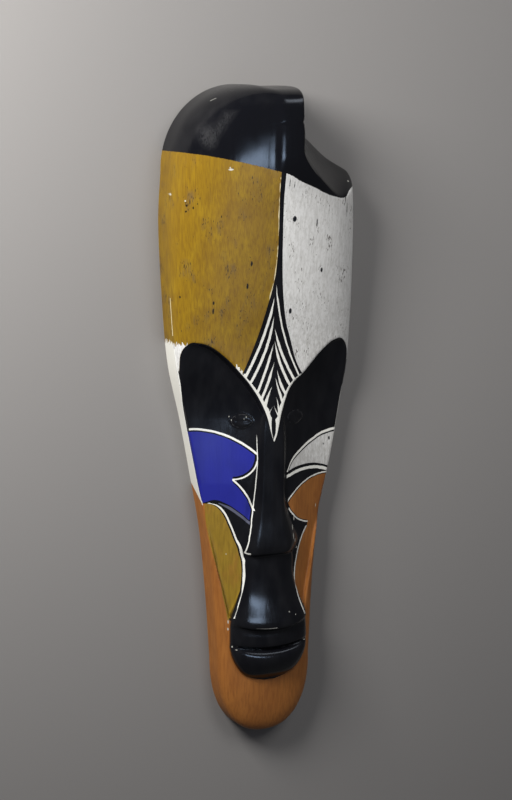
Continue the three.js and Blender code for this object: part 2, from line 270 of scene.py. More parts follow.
def shoulder_height(x, y):
    along, into, back, crease = on_shoulder(x, y)
    depth = np.maximum(crease - back, 0.01)
    crease_x = CREST_FOOT_X + along * shoulder_run - crease * shoulder_drop
    crease_y = SHOULDER_Y - along * shoulder_drop - crease * shoulder_run
    t = (into - back) / depth
    wall = through(SIDE_WALL, y)
    slope = wall + (block_height(crease_x, crease_y) - wall) * power(t, SHOULDER_CURVE)
    slope = slope + np.where(t > 1, HALF_LENGTH * (t - 1), 0)
    beside = (along < SHOULDER_CREASE[0][0]) | (along > SHOULDER_CREASE[-1][0])
    return np.where(into < back, 0, np.where(beside, HALF_LENGTH, slope))


def cut_crown(x, y):
    crest_side = (CREST_FOOT_X - x) * CREST_TOP_Z / (CREST_FOOT_X - CREST_TOP_X)
    cut = higher_of(shoulder_height(x, y), crest_side, SHOULDER_FILLET)
    near_crest = eased((CREST_FOOT_X + CREST_EDGE_REACH - x) / CREST_EDGE_FADE)
    edge = SHOULDER_EDGE + (CREST_EDGE - SHOULDER_EDGE) * near_crest
    plain = block_height(x, y)
    return np.where(y > CUT_START_Y, lower_of(plain, np.maximum(cut, 0), edge), plain)


# The sunk face: two lobes under the brow, and the cheeks, which run out over the side. The brow's
# edge over each lobe is given as (from the middle line, place along Y), up to the lobe's top. From
# there it turns down through a quarter of an ellipse, of this half width and height.
LEFT_BROW = [
    (0, -23), (3, -14), (7, 1), (14, 17), (23, 31.5), (30, 40.5), (40, 52), (48, 59.8), (56, 66.2),
    (64, 70.6), (74, 72.8),
]
RIGHT_BROW = [
    (0, -23), (3, -15.5), (7, 2.5), (14, 22), (21, 32), (30, 38.6), (40, 48.5), (47, 55.4), (54, 61),
    (61, 65.5), (70, 68.3),
]
LEFT_LOBE_END = (10, 16)
RIGHT_LOBE_END = (13.5, 18.3)
FACE_OPEN_BELOW = 42
FACE_OPENING = 40
CREASE_TOP, CREASE_RUN = -100, 12
FACE_END_Y = -200
CREASE = [(-187, 38.6), (-162, 43.6), (-142, 48.4), (-116, 53.6), (-100, 58)]
CREASE_Z = [
    (-187, 23.5), (-162, 22), (-142, 20.5), (-116, 19), (-100, 18.4), (0, 18), (20, 19.5), (45, 25),
    (66, 30), (80, 34),
]
NOSE_SIDE = 14
NOSE_SIDE_Z = [(-190, 36), (-120, 36.5), (-50, 36), (0, 33), (20, 34), (45, 38), (66, 40)]
SCOOP = [(-60, 1.1), (0, 2)]
BROW_BEVEL, CREASE_BEVEL = 3.2, 2


def face_height(s, y):
    creased = eased((CREASE_TOP + CREASE_RUN / 2 - y) / CREASE_RUN)
    edge = through(CREASE, y) * creased + half_width(y, 1) * (1 - creased)
    inward = np.maximum((edge - s) / (edge - NOSE_SIDE), 0)
    hollow_edge = through(CREASE_Z, y)
    return hollow_edge + (through(NOSE_SIDE_Z, y) - hollow_edge) * inward ** through(SCOOP, y)


def from_brow(s, y, brow, lobe_end):
    """How far a place is outside the sunk face, across the brow's edge. It is below 0 in a lobe."""
    top_s, top_y = brow[-1]
    half, height = lobe_end
    slope = through(brow, s + 0.5) - through(brow, s - 0.5)
    inner = (y - through(brow, s)) / np.sqrt(1 + slope**2)
    a, b = (s - top_s) / half, (y - top_y + height) / height
    r = np.hypot(a, b)
    outer = (r - 1) * r / np.maximum(np.hypot(a / half, b / height), 1e-6)
    outer = np.where(b < 0, s - top_s - half, outer)
    return np.where(s < top_s, inner, outer)


def from_face(from_middle, y):
    """How far a place is outside the sunk face as a whole."""
    s = np.abs(from_middle)
    left = from_brow(s, y, LEFT_BROW, LEFT_LOBE_END)
    right = from_brow(s, y, RIGHT_BROW, RIGHT_LOBE_END)
    open_side = eased((FACE_OPEN_BELOW + 4 - y) / 8) * eased((s - LEFT_BROW[-1][0]) / 8)
    lobe = np.where(from_middle < 0, left, right) - FACE_OPENING * open_side
    cheek = np.maximum(s - through(CREASE, y), FACE_END_Y - y)
    return np.where(y > CREASE_TOP, lobe, cheek)


def sunk_face(x, y, plain):
    from_middle = x - through(CENTRE, y)
    s = np.abs(from_middle)
    out = from_face(from_middle, y)
    floor_height = face_height(s, y)
    bevel = np.where(y > CREASE_TOP, BROW_BEVEL, CREASE_BEVEL)
    rising = floor_height + np.maximum(plain - floor_height, 0) * eased((out + bevel) / bevel)
    return np.where(out < 0, np.minimum(plain, rising), plain)


# The nose, a low flat ridge that widens into the nostrils.
NOSE_TOP, NOSE_END = 12, -129
NOSE_FRONT = [(-129, 15), (-118, 14.5), (-100, 11), (-76, 10), (-15, 9.5), (12, 7)]
NOSE_FOOT = [(-129, 22), (-118, 24.5), (-104, 22), (-90, 18.5), (-76, 16), (-15, 14), (12, 10)]
NOSE_Z = [(-129, 40.5), (-120, 41.5), (-90, 39.5), (-50, 39), (-15, 39.5), (12, 39.5)]
NOSE_FLANK, FLANK_CURVE = 6, 1.5
NOSE_END_RUN = 2.5
NOSE_TOP_RUN, NOSE_TOP_DROP = 14, 8
NOSE_BOW, NOSE_BLEND = 0.4, 0.8


def nose_height(s, y):
    front, foot = through(NOSE_FRONT, y), through(NOSE_FOOT, y)
    flank = power((s - front) / (foot - front), FLANK_CURVE)
    end = NOSE_FLANK * power((NOSE_END + NOSE_END_RUN - y) / NOSE_END_RUN, FLANK_CURVE)
    top = NOSE_TOP_DROP * power((y - NOSE_TOP + NOSE_TOP_RUN) / NOSE_TOP_RUN, FLANK_CURVE)
    bow = NOSE_BOW * np.clip(s / front, 0, 1)
    return through(NOSE_Z, y) - bow - NOSE_FLANK * flank - end - top


# The mouth: neck, muzzle, ledge, lips and the groove between them. Each row is
# (place along Y, half width, height in the middle, how far its ends bow up).
MUZZLE_ROWS = [
    (-248, 5, 28, 0), (-245, 16, 32, 0), (-240, 26, 37.5, 0), (-233, 33, 42, 2), (-226, 37, 43.5, 4),
    (-220, 38.5, 41.5, 5), (-217, 38.7, 37, 5), (-214, 38.7, 41, 5), (-206, 38.6, 41.5, 6),
    (-199, 38.3, 41, 7), (-197, 38.2, 45, 7), (-193, 37.8, 45.4, 7), (-188, 36.9, 44.4, 6),
    (-181, 34.5, 42.5, 4.5), (-174, 32.1, 40.7, 3.4), (-167, 30, 39.3, 2.2), (-160, 28, 38.4, 1),
    (-147, 25.6, 37.2, 0), (-135, 25.8, 36.5, 0), (-120, 24, 36, 0),
]
MUZZLE_EDGE_Z = 28
MUZZLE_ROUNDNESS = 2.3


def on_muzzle(x, y):
    """Which row of the muzzle a place lies on, its half width there, and how far out it is, 0 to 1."""
    half, bow = ([(row[0], row[k]) for row in MUZZLE_ROWS] for k in (1, 3))
    from_centre = np.abs(x - through(CENTRE, y))
    row = y
    for _ in range(10):
        k = np.clip(from_centre / through(half, row), 0, 1)
        row = y - through(bow, row) * k * k
    return row, through(half, row), k


def inside_muzzle(x, y):
    row, half, _ = on_muzzle(x, y)
    sideways = half - np.abs(x - through(CENTRE, y))
    return np.minimum(np.minimum(sideways, row - MUZZLE_ROWS[0][0]), MUZZLE_ROWS[-1][0] - row)


def muzzle_height(x, y):
    row, _, k = on_muzzle(x, y)
    top = through([(row[0], row[2]) for row in MUZZLE_ROWS], row)
    section = power(1 - k**MUZZLE_ROUNDNESS, 1 / MUZZLE_ROUNDNESS)
    height = MUZZLE_EDGE_Z + (top - MUZZLE_EDGE_Z) * section
    return np.where(inside_muzzle(x, y) > 0, height, 0)


# The eyes: a low mound each, with a lid above and below a narrow slit, and a fine line cut round it.
# Where each of these lies, and how wide it is, is given in half widths of the eye.
EYE_X, EYE_Y, EYE_HALF_WIDTH, EYE_HALF_HEIGHT, EYE_RISE = 26.8, -3, 9.5, 6.5, 2.1
EYE_POINT, MOUND_END = 0.7, 1.15
LID_HEIGHT, LID_AT, LID_WIDTH = 0.6, 0.78, 0.16
SLIT_DEPTH, SLIT_WIDTH, SLIT_END, SLIT_FADE = 1.1, 0.15, 0.8, 0.2
RIM_CUT_DEPTH, RIM_CUT_AT, RIM_CUT_WIDTH = 0.3, 1.12, 0.09


def eye_relief(s, y):
    u, v = (s - EYE_X) / EYE_HALF_WIDTH, (y - EYE_Y) / EYE_HALF_HEIGHT
    almond = np.hypot(u, v * (1 + EYE_POINT * u * u))
    mound = EYE_RISE * power(1 - (almond / MOUND_END) ** 2, 1.2)
    lids = LID_HEIGHT * np.exp(-(((almond - LID_AT) / LID_WIDTH) ** 2))
    slit = -SLIT_DEPTH * np.exp(-((v / SLIT_WIDTH) ** 2)) * eased((SLIT_END - np.abs(u)) / SLIT_FADE)
    rim_cut = -RIM_CUT_DEPTH * np.exp(-(((almond - RIM_CUT_AT) / RIM_CUT_WIDTH) ** 2))
    return mound + lids + slit + rim_cut


def front_height(x, y):
    s = np.abs(x - through(CENTRE, y))
    height = sunk_face(x, y, cut_crown(x, y))
    height = height + eye_relief(s, y)
    height = np.where(y < NOSE_TOP, higher_of(height, nose_height(s, y), NOSE_BLEND), height)
    return np.where(y < 0, np.maximum(height, muzzle_height(x, y)), height)


# The front as one net: rows from chin to crown, and columns from the left side's foot over the
# front to the right side's foot. Rows and columns lie closer where the carving is finer.
ROW_DENSITY = [
    (-300, 0.8), (-250, 0.8), (-244, 1.35), (-192, 1.35), (-182, 0.8), (-20, 0.85), (75, 0.85),
    (95, 0.5), (190, 0.5), (215, 0.75), (300, 0.75),
]
CHIN_CROWDING, CROWN_CROWDING = 2.2, 6
SIDE_COLUMNS = 7
FRONT_COLUMNS = 134
ROW_SAMPLES = 900
FINE_HALF_WIDTH = 45
CARVED_WAVE, WAVE_LENGTH = 0.22, 26


def row_places():
    """Places along Y, crowded towards both ends, where the outline turns in."""
    near = np.geomspace(1e-4, 1, 200)
    plain = np.linspace(-HALF_LENGTH, HALF_LENGTH, 6001)
    fine = np.unique(np.concatenate([plain, near - HALF_LENGTH, HALF_LENGTH - near]))
    middle = (fine[1:] + fine[:-1]) / 2
    chin = CHIN_CROWDING / np.sqrt(middle + HALF_LENGTH) * eased((-200 - middle) / 60)
    crown = CROWN_CROWDING / (HALF_LENGTH - middle) ** (2 / 3) * eased((middle - 265) / 30)
    density = np.interp(middle, *np.array(ROW_DENSITY).T) + chin + crown
    count = np.concatenate([[0], np.cumsum(density * np.diff(fine))])
    return np.interp(np.linspace(0, count[-1], int(count[-1])), count, fine)


def right_foot(y):
    """The outline's right side, past which the crown is cut away."""
    x = np.linspace(CREST_FOOT_X, 100, 1500)
    _, into, back, _ = on_shoulder(x, y)
    kept = x[into > back + 0.02]
    cut_x = kept[-1] if len(kept) else CREST_FOOT_X
    return min(through(CENTRE, y) + half_width(y, 1), cut_x)


def front_row(row_y):
    """One row of points, and how far each lies past the front's edge on the side wall."""
    left = float(through(CENTRE, row_y) - half_width(row_y, -1))
    foot_x = float(right_foot(row_y))
    right = foot_x - CREST_LEAN * eased((row_y - SHOULDER_Y + 6) / 6)
    x = np.linspace(left, right, ROW_SAMPLES)
    y = np.full_like(x, row_y)
    if row_y > CROWN_Y:
        y = CROWN_Y + (row_y - CROWN_Y) / (HALF_LENGTH - CROWN_Y) * (crown_top(x) - CROWN_Y)
    z = np.maximum(front_height(x, y), 0)
    middle = np.abs((x[1:] + x[:-1]) / 2) / FINE_HALF_WIDTH
    finer = 1 + 0.7 * np.exp(-(middle**2)) * eased((90 - row_y) / 40) * eased((row_y + 260) / 20)
    run = np.concatenate([[0], np.cumsum(np.hypot(np.diff(x), np.diff(z)) * finer)])
    place = np.interp(np.linspace(0, run[-1], FRONT_COLUMNS), run, np.arange(len(x)))
    front = np.stack([np.interp(place, np.arange(len(x)), a) for a in (x, y, z)], 1)
    rise = np.linspace(0, 1, SIDE_COLUMNS, endpoint=False)[:, None]
    left_side = front[0] * [1, 1, 0] + front[0] * [0, 0, 1] * rise
    foot = [foot_x, front[-1, 1], 0]
    right_side = foot + (front[-1] - foot) * rise[::-1]
    from_edge = np.minimum(run, run[-1] - run)
    past = np.concatenate(
        [
            front[0, 2] - left_side[:, 2],
            -np.interp(place, np.arange(len(x)), from_edge),
            front[-1, 2] - right_side[:, 2],
        ]
    )
    return np.concatenate([left_side, front, right_side]), past


rows, past_edge = (np.array(part) for part in zip(*(front_row(y) for y in row_places())))
for _ in range(2):
    inner = rows[1:-1, 1:-1]
    around = rows[:-2, 1:-1] + rows[2:, 1:-1] + rows[1:-1, :-2] + rows[1:-1, 2:]
    rows[1:-1, 1:-1] = inner + (around / 4 - inner) * 0.5
wave = np.array([[noise.noise(Vector(p) / WAVE_LENGTH) for p in row] for row in rows])
rows[1:-1, 1:-1, 2] += CARVED_WAVE * wave[1:-1, 1:-1]
fold = np.repeat(rows[-1:], SIDE_COLUMNS, 0)
level = (1 - np.arange(1, SIDE_COLUMNS + 1) / SIDE_COLUMNS)[:, None]
fold[:, SIDE_COLUMNS:-SIDE_COLUMNS, 2] *= level
for columns, edge_z in (
    (slice(None, SIDE_COLUMNS), rows[-1, SIDE_COLUMNS, 2]),
    (slice(-SIDE_COLUMNS, None), rows[-1, -SIDE_COLUMNS - 1, 2]),
):
    fold[:, columns, 2] = np.minimum(fold[:, columns, 2], edge_z * level)
rows = np.concatenate([rows, fold])
past_edge = np.concatenate([past_edge, [past_edge[-1]] * SIDE_COLUMNS])

# The hollow back: a long trough, deepest under the forehead, with the gouge's marks left in it.
RIM = 13
HOLLOW_CHIN_Y, HOLLOW_CHIN_END, HOLLOW_CROWN_Y, HOLLOW_CROWN_END = -215, -280, 150, 250
HOLLOW_END_CURVE = 2.5
HOLLOW_Z = [
    (-228, 18), (-160, 19), (-100, 19), (-50, 18), (0, 16), (50, 24), (110, 39), (160, 47), (200, 55),
    (230, 60),
]
HOLLOW_CENTRE = [(140, 0), (200, -6), (250, -12)]
HOLLOW_ROWS, HOLLOW_COLUMNS = 150, 84
GOUGE_LENGTH, GOUGE_WIDTH, GOUGE_DEPTH = 26, 9, 0.8
GOUGE_FADE_Z = 6


def gouge_marks(x, y):
    """Depth of the nearest gouge cut, as shallow scoops laid out unevenly."""
    u, v = x / GOUGE_WIDTH, y / GOUGE_LENGTH
    jitter = np.random.default_rng(7).random((64, 64, 2))
    nearest = np.full(np.shape(x), 9.0)
    for i in (-1, 0, 1):
        for j in (-1, 0, 1):
            cell_u, cell_v = np.floor(u) + i, np.floor(v) + j
            shift = jitter[cell_u.astype(int) % 64, cell_v.astype(int) % 64]
            away = np.hypot(u - cell_u - shift[..., 0], v - cell_v - shift[..., 1])
            nearest = np.minimum(nearest, away)
    return GOUGE_DEPTH * nearest**2


def hollow_net():
    turn = np.linspace(-math.pi / 2, math.pi / 2, HOLLOW_ROWS)
    y = HOLLOW_CHIN_END + (HOLLOW_CROWN_END - HOLLOW_CHIN_END) * (np.sin(turn) + 1) / 2
    y = (y + np.linspace(HOLLOW_CHIN_END, HOLLOW_CROWN_END, HOLLOW_ROWS)) / 2
    to_chin = (HOLLOW_CHIN_Y - y) / (HOLLOW_CHIN_Y - HOLLOW_CHIN_END)
    to_crown = (y - HOLLOW_CROWN_Y) / (HOLLOW_CROWN_END - HOLLOW_CROWN_Y)
    end = 1 - np.clip(np.maximum(to_chin, to_crown), 0, 1) ** HOLLOW_END_CURVE
    half = (through(HALF_WIDTH, y) - RIM) * power(end, 1 / HOLLOW_END_CURVE)
    top = through(HOLLOW_Z, y) * power(end, 1 / ROUNDNESS)
    middle = through(CENTRE, y) + through(HOLLOW_CENTRE, y)
    k = np.sin(np.linspace(-math.pi / 2, math.pi / 2, HOLLOW_COLUMNS))
    section = power(1 - np.abs(k) ** ROUNDNESS, 1 / ROUNDNESS)
    x = middle[:, None] + half[:, None] * k
    across_y = np.repeat(y[:, None], HOLLOW_COLUMNS, 1)
    z = top[:, None] * section
    marks = gouge_marks(x, across_y) * eased(z / GOUGE_FADE_Z)
    return np.stack([x, across_y, z - marks], 2)


def net_faces(count_rows, count_columns, first, turned):
    """The faces of a net of points, numbered from first."""
    i, j = np.meshgrid(np.arange(count_rows - 1), np.arange(count_columns - 1), indexing="ij")
    a = first + (i * count_columns + j).ravel()
    corners = [a, a + 1, a + count_columns + 1, a + count_columns]
    return np.stack(corners[::-1] if turned else corners, 1)


PAINTED, BARE = 0, 1
BEHIND = 99.0
hollow = hollow_net()
points = np.concatenate([rows.reshape(-1, 3), hollow.reshape(-1, 3)])
front_faces = net_faces(*rows.shape[:2], 0, False)
hollow_faces = net_faces(*hollow.shape[:2], rows.shape[0] * rows.shape[1], True)
mask_mesh = bpy.data.meshes.new("mask_carving")
mask_mesh.from_pydata((points * MM).tolist(), [], np.concatenate([front_faces, hollow_faces]).tolist())
mask_mesh.polygons.foreach_set(
    "material_index", [PAINTED] * len(front_faces) + [BARE] * len(hollow_faces)
)

# What the painter follows on the carving, in millimetres: how far each point lies past the front's
# edge on the side wall, outside the sunk face across the brow's edge, and inside the muzzle.
front_x, front_y = rows[..., 0], rows[..., 1]
guides = {
    "past_edge": past_edge,
    "past_brow": from_face(front_x - through(CENTRE, front_y), front_y),
    "in_muzzle": inside_muzzle(front_x, front_y),
}
for name, values in guides.items():
    behind = np.full(hollow.shape[0] * hollow.shape[1], BEHIND)
    guide = mask_mesh.attributes.new(name, "FLOAT", "POINT")
    guide.data.foreach_set("value", np.concatenate([values.ravel(), behind]))

# The flat rim closes the space between front and hollow, and the nets' double points are joined.
# An outline runs up a net's right edge, over its last row, and down its left edge.
JOIN_DISTANCE, SLIVER_SIZE, SHARP_ANGLE = 0.03, 0.01, math.radians(50)


def outline_of(first, count_rows, count_columns):
    numbers = first + np.arange(count_rows * count_columns).reshape(count_rows, count_columns)
    return np.concatenate([numbers[:, -1], numbers[-1, -2:0:-1], numbers[::-1, 0]]).tolist()


carving = bmesh.new()
carving.from_mesh(mask_mesh)
carving.verts.ensure_lookup_table()
front_outline = outline_of(0, *rows.shape[:2])
hollow_outline = outline_of(rows.shape[0] * rows.shape[1], *hollow.shape[:2])
corners = front_outline + hollow_outline
first_hollow = len(front_outline)
rings = [list(range(first_hollow)), list(range(first_hollow, len(corners)))]
flat = [Vector(points[corner][:2]) for corner in corners]
_, _, rim_faces, rim_corners, _, rim_rings = geometry.delaunay_2d_cdt(flat, [], rings, 1, 0.02)
for face, inside in zip(rim_faces, rim_rings):
    if inside == [0]:
        rim_face = carving.faces.new([carving.verts[corners[rim_corners[k][0]]] for k in face[::-1]])
        rim_face.material_index = BARE
bmesh.ops.remove_doubles(carving, verts=carving.verts, dist=JOIN_DISTANCE * MM)
bmesh.ops.dissolve_degenerate(carving, edges=carving.edges, dist=SLIVER_SIZE * MM)
bmesh.ops.recalc_face_normals(carving, faces=carving.faces)
for face in carving.faces:
    face.smooth = True
carving.to_mesh(mask_mesh)
carving.free()
mask_mesh.set_sharp_from_angle(angle=SHARP_ANGLE)

# Paint. Oil paint brushed straight on the wood: black on the cap, the face and the muzzle, ochre and
# white on the forehead, blue, olive and orange below, with white lines drawn over the black. It is
# rubbed and chipped by handling, and the black is polished.
class Field:
    """A value that changes over the surface. Its operators add Math nodes, and node adds any other."""

    def __init__(self, socket):
        self.socket = socket

    def node(self, kind, settings, values, out=0):
        tree = self.socket.id_data
        made = tree.nodes.new(kind)
        for name, value in settings.items():
            setattr(made, name, value)
        sockets = [socket for socket in made.inputs if socket.enabled]
        for place, value in values.items():
            if isinstance(value, Field):
                tree.links.new(value.socket, sockets[place])
            else:
                sockets[place].default_value = value
        found = [socket for socket in made.outputs if socket.enabled and out in (0, socket.name)]
        return Field(found[0])

    def maths(self, operation, *others, clamp=False):
        settings = {"operation": operation, "use_clamp": clamp}
        return self.node("ShaderNodeMath", settings, dict(enumerate((self, *others))))

    def __add__(self, other):
        return self.maths("ADD", other)

    __radd__ = __add__

    def __sub__(self, other):
        return self.maths("SUBTRACT", other)

    def __rsub__(self, other):
        return self.node("ShaderNodeMath", {"operation": "SUBTRACT"}, {0: other, 1: self})

    def __mul__(self, other):
        return self.maths("MULTIPLY", other)

    __rmul__ = __mul__

    def __neg__(self):
        return self * -1

    def __abs__(self):
        return self.maths("ABSOLUTE")

    def least(self, *others):
        value = self
        for other in others:
            value = value.maths("MINIMUM", other)
        return value

    def most(self, *others):
        value = self
        for other in others:
            value = value.maths("MAXIMUM", other)
        return value

    def between(self, start, end):
        """0 up to start, 1 from end on, and an even slope between them."""
        return self.maths("MULTIPLY_ADD", 1 / (end - start), -start / (end - start), clamp=True)

    def mask(self, softness=0.3):
        """1 where a distance is above 0 and 0 where it is below, with a soft edge this wide."""
        return self.between(-softness / 2, softness / 2)

    def along(self, stations):
        """A smooth curve through (place, value) stations."""
        (first, last), values = (stations[0][0], stations[-1][0]), [value for _, value in stations]
        bottom, top = min(values), max(values)
        curve = self.node("ShaderNodeFloatCurve", {}, {1: self.between(first, last)})
        mapping = curve.socket.node.mapping
        points = mapping.curves[0].points
        for _ in stations[2:]:
            points.new(0.5, 0.5)
        for point, (place, value) in zip(points, stations):
            point.location = (place - first) / (last - first), (value - bottom) / (top - bottom)
        mapping.update()
        return curve * (top - bottom) + bottom


def painted(under, over, mask):
    """One colour laid over another where the mask is 1."""
    return mask.node("ShaderNodeMix", {"data_type": "RGBA"}, {0: mask, 1: under, 2: over})


def streaks(place, across, along, detail=2.0):
    """Noise from 0 to 1 in streaks along the mask, this wide and this long in millimetres."""
    shrink = 1 / across, 1 / along, 1 / across
    scaled = place.node("ShaderNodeVectorMath", {"operation": "MULTIPLY"}, {0: place, 1: shrink})
    return scaled.node("ShaderNodeTexNoise", {}, {0: scaled, 1: 1.0, 2: detail})


def finish(name):
    """A new material with its shader, and the place on the mask in millimetres."""
    made = bpy.data.materials.new(name)
    made.use_nodes = True
    coordinates = Field(made.node_tree.nodes.new("ShaderNodeTexCoord").outputs["Object"])
    scale = {"operation": "SCALE"}
    place = coordinates.node("ShaderNodeVectorMath", scale, {0: coordinates, 1: 1 / MM})
    return made, made.node_tree.nodes["Principled BSDF"], place


painted_wood, shader, place = finish("painted_wood")
x, y, z = (place.node("ShaderNodeSeparateXYZ", {}, {0: place}, axis) for axis in "XYZ")
flat_place = place.node("ShaderNodeVectorMath", {"operation": "MULTIPLY"}, {0: place, 1: (1, 1, 0)})
past_edge, past_brow, in_muzzle = (
    place.node("ShaderNodeAttribute", {"attribute_name": name}, {}, "Fac") for name in guides
)
HAND_WAVER, BRUSH_RAGGEDNESS = 0.9, 0.7
unsteady = (streaks(place, 8, 8) - 0.5) * HAND_WAVER
ragged = (streaks(place, 1.3, 2) - 0.5) * BRUSH_RAGGEDNESS
left, right, below, above = (-x, x, -y, y)


def arc(a, b, c):
    """How far a place lies inside the circle through three points."""
    (ax, ay), (bx, by), (cx, cy) = a, b, c
    twist = 2 * (ax * (by - cy) + bx * (cy - ay) + cx * (ay - by))
    squares = ax**2 + ay**2, bx**2 + by**2, cx**2 + cy**2
    centre_x = (squares[0] * (by - cy) + squares[1] * (cy - ay) + squares[2] * (ay - by)) / twist
    centre_y = (squares[0] * (cx - bx) + squares[1] * (ax - cx) + squares[2] * (bx - ax)) / twist
    ends = {0: flat_place, 1: (centre_x, centre_y, 0)}
    away = flat_place.node("ShaderNodeVectorMath", {"operation": "DISTANCE"}, ends, "Value")
    return math.hypot(ax - centre_x, ay - centre_y) - away + unsteady


def spot(at_x, at_y, half_width, half_height):
    """How far a place lies inside a small upright ellipse."""
    centre, half_size = (at_x, at_y, 0), (half_width, half_height, 1)
    offset = place.node("ShaderNodeVectorMath", {"operation": "SUBTRACT"}, {0: flat_place, 1: centre})
    scaled = place.node("ShaderNodeVectorMath", {"operation": "DIVIDE"}, {0: offset, 1: half_size})
    length = scaled.node("ShaderNodeVectorMath", {"operation": "LENGTH"}, {0: scaled}, "Value")
    return (1 - length) * min(half_width, half_height)


# The areas of colour, each as a distance that is above 0 inside it. An outline is given as (x, y) or
# (y, x) along it. On the left, the side wall's white strip starts below or above the front's edge:
# how far, in millimetres down the wall, is given along Y.
CAP_EDGE = [
    (-93, 243), (-78, 241), (-45.4, 234.4), (-4, 223.9), (4.1, 221.4), (15.8, 215.3), (31.8, 208.8),
    (48.9, 201.5), (58.2, 199.1), (68, 197.6), (78, 202.9), (84.4, 206), (92, 208),
]
OCHRE_EDGE = [
    (30, -34.5), (44, -28), (54.7, -23.2), (67.3, -18.1), (86.3, -12.1), (103.5, -7.7), (119.7, -3.7),
    (136.9, -1.3), (163, -1), (221.2, -3.7), (260, -5),
]
WHITE_EDGE = [
    (30, 36), (38.2, 31.5), (50.2, 24.7), (71.4, 17.5), (93.7, 10.6), (117.3, 6.8), (136.5, 4.9),
    (162.8, 3.4), (221.1, 0.9), (260, 0),
]
WALL_OCHRE_END, WALL_WHITE_END, STRIP_X = 71, -61, -78
STRIP_DROP = [
    (-76, 1), (-66, 3.2), (-25, 4.6), (-1, 5.2), (7.4, 4.8), (15.7, 3.4), (23, 0.8), (29, -0.6),
    (40, -2), (48, -1.8), (62, -1.2),
]
CHEEK_VALLEY = [
    (-194.6, -38.8), (-176.7, -41.2), (-161.9, -44.1), (-149.3, -45.1), (-128.8, -50.9),
    (-102.8, -55.8), (-79.7, -58.1),
]
CHEEK_TOP_Y, CHEEK_END_Y = -78, -188
CHEEK_EDGE = [
    (-188.1, -37.8), (-170.8, -29.5), (-156.7, -25.2), (-137, -24.3), (-127.1, -26.2), (-106.8, -33.1),
    (-86.4, -41.4), (-77.9, -54.1),
]
CHEEK_GAP = [(-188, 0.6), (-170, 2.2), (-148, 2.6), (-120, 2.3), (-95, 2.2), (-78, 2.4)]
BLUE_BOTTOM = [
    (-62, -78.5), (-57.3, -77.3), (-49.6, -75.5), (-40.2, -78.8), (-28.9, -86.8), (-19.4, -95.4),
    (-14, -100),
]
PATCH_TOP = [
    (17.6, -55), (18.7, -52), (24.3, -42.5), (36, -34), (50, -26.5), (61.9, -21.6), (77.2, -19),
]
LOBE_INSET, CAP_RAGGEDNESS, WALL_RAGGEDNESS = 0.55, 1.6, 16
LINE_GAP, THIN_LINE_GAP = 2.6, 1.5

past_brow = past_brow - (STRIP_X - x).between(0, 3) * LOBE_INSET
cap = above - x.along(CAP_EDGE) + ragged * CAP_RAGGEDNESS
ochre_edge = y.along(OCHRE_EDGE) - x
white_edge = x - y.along(WHITE_EDGE)
wall = past_edge + ragged * 0.5 + 0.4
strip = wall - y.along(STRIP_DROP) * left.mask()
forehead = past_brow.least(above + 40).most(strip)
outer = strip.most(past_brow.least(STRIP_X - x))
wall_end = above - WALL_OCHRE_END + (streaks(place, 1.5, 7) - 0.5) * WALL_RAGGEDNESS
ochre = ochre_edge.least(forehead, wall_end.most(-outer))
forehead_white = white_edge.least(forehead)
wall_white = outer.least(above - WALL_WHITE_END + z)

blue_top = arc((-71.6, -8.4), (-42.1, -14.2), (-12.5, -33.1))
notch_top = arc((-12.8, -42.4), (-24.9, -54.9), (-33.7, -56.3))
notch_side = arc((-33.8, -56.3), (-23.1, -69.3), (-16.3, -83.8))
blue_bottom = above - x.along(BLUE_BOTTOM)
nose_line = arc((-11.8, -32.8), (-15.7, -81.2), (-24.6, -123.9))
blue = (notch_top - LINE_GAP).most(notch_side - 1.9, left - 33.5)
blue = blue.least(blue_top - 2.3, blue_bottom - 0.6, nose_line - 1.6, -strip)
cheek = y.along(CHEEK_EDGE) - x + unsteady
olive = (cheek - y.along(CHEEK_GAP)).least(below + CHEEK_TOP_Y, above - CHEEK_END_Y, -in_muzzle)

patch_top = x.along(PATCH_TOP) - y + unsteady
patch_black = arc((19.7, -52.9), (42, -49.2), (66.7, -54.2))
patch_white = arc((18.4, -57), (42, -52.4), (67.4, -56.8))
patch = (patch_top - LINE_GAP).least(-1 - patch_black, right - 19, above + 58, 0.5 - wall)
wedge = arc((66.9, -59.4), (37.5, -65.4), (20.3, -79.3))
orange_low = arc((21.3, -88.2), (32.8, -99.5), (43.7, -103.5))
cheek_right = arc((42.5, -108), (27.4, -155.8), (34.8, -187.8))
right_orange = (orange_low - 1.4).most(cheek_right - 1, right - 44)
right_orange = right_orange.least((wedge - THIN_LINE_GAP).most(below - 90), right - 18, -wall)
chin_orange = (below + CHEEK_END_Y).least(-in_muzzle)
left_rim = (y.along(CHEEK_VALLEY) - x).least(below + CHEEK_TOP_Y, cheek)
wall_orange = wall.least(below + WALL_WHITE_END - z)
orange = right_orange.most(left_rim, chin_orange, wall_orange).least(-in_muzzle)

